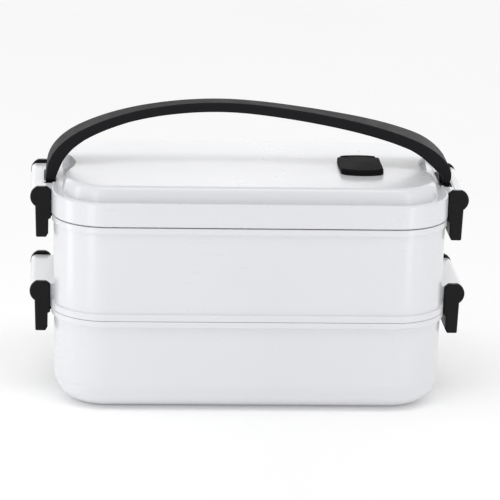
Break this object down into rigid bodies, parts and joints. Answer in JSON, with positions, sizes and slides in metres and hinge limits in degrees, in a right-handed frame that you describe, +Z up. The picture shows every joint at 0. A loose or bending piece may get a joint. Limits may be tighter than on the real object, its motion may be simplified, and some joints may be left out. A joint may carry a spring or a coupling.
{
  "type": "lunch box",
  "caption": "Stacking bento lunch box with a sealed, vented lid, side clips that lock the trays together and an arched carrying strap.",
  "frame": {"origin": "centre of the underside, on the surface that the box stands on", "axes": "+X along the length towards the end with the steam vent, -Y towards the front long side, +Z up"},
  "size_m": [0.2216, 0.112, 0.1489],
  "materials": {
    "body_white": "glossy moulded plastic",
    "liner_white": "satin moulded plastic",
    "clip_dark": "satin moulded plastic",
    "strap_grey": "fine matt grain",
    "vent_grey": "soft matt moulding",
    "seal_silicone": "translucent silicone",
    "pin_steel": "drawn wire"
  },
  "bodies": {
    "lower_tier": {"lower_tier": "body_white"},
    "upper_tier": {"upper_tier": "body_white", "tier_seal": "seal_silicone", "lower_left_clip_pins": "pin_steel", "lower_right_clip_pins": "pin_steel"},
    "lid": {"lid_cover": "body_white", "lid_liner": "liner_white", "lid_seal": "seal_silicone", "vent_anchor": "vent_grey", "vent_pin": "pin_steel", "left_handle_pin": "pin_steel", "right_handle_pin": "pin_steel", "upper_left_clip_pins": "pin_steel", "upper_right_clip_pins": "pin_steel"},
    "upper_left_clip": {"upper_left_clip": "clip_dark"},
    "upper_right_clip": {"upper_right_clip": "clip_dark"},
    "lower_left_clip": {"lower_left_clip": "clip_dark"},
    "lower_right_clip": {"lower_right_clip": "clip_dark"},
    "handle": {"handle_strap": "strap_grey"},
    "vent": {"vent_flap": "vent_grey", "vent_seal": "seal_silicone"}
  },
  "joints": [
    {"name": "tier_lift", "type": "slide", "parent": "lower_tier", "child": "upper_tier", "axis": [0, 0, 1], "range_m": [0, 0.02]},
    {"name": "lid_lift", "type": "slide", "parent": "upper_tier", "child": "lid", "axis": [0, 0, 1], "range_m": [0, 0.02]},
    {"name": "upper_left_clip_hinge", "type": "hinge", "parent": "lid", "child": "upper_left_clip", "pos_m": [-0.105, 0, 0.1049], "axis": [0, 1, 0], "range_deg": [0, 110]},
    {"name": "upper_right_clip_hinge", "type": "hinge", "parent": "lid", "child": "upper_right_clip", "pos_m": [0.105, 0, 0.1049], "axis": [0, -1, 0], "range_deg": [0, 110]},
    {"name": "lower_left_clip_hinge", "type": "hinge", "parent": "upper_tier", "child": "lower_left_clip", "pos_m": [-0.105, 0, 0.05555], "axis": [0, 1, 0], "range_deg": [0, 110]},
    {"name": "lower_right_clip_hinge", "type": "hinge", "parent": "upper_tier", "child": "lower_right_clip", "pos_m": [0.105, 0, 0.05555], "axis": [0, -1, 0], "range_deg": [0, 110]},
    {"name": "handle_tilt", "type": "hinge", "parent": "lid", "child": "handle", "pos_m": [0, 0, 0.1049], "axis": [1, 0, 0], "range_deg": [-12, 12]},
    {"name": "vent_hinge", "type": "hinge", "parent": "lid", "child": "vent", "pos_m": [0.057, 0.0054, 0.1176], "axis": [-1, 0, 0], "range_deg": [0, 25]}
  ],
  "couplings": [
    {"joint": "upper_left_clip_hinge", "follows": "lid_lift", "rad_per_m": 95.9},
    {"joint": "upper_right_clip_hinge", "follows": "lid_lift", "rad_per_m": 95.9},
    {"joint": "lower_left_clip_hinge", "follows": "tier_lift", "rad_per_m": 95.9},
    {"joint": "lower_right_clip_hinge", "follows": "tier_lift", "rad_per_m": 95.9}
  ]
}
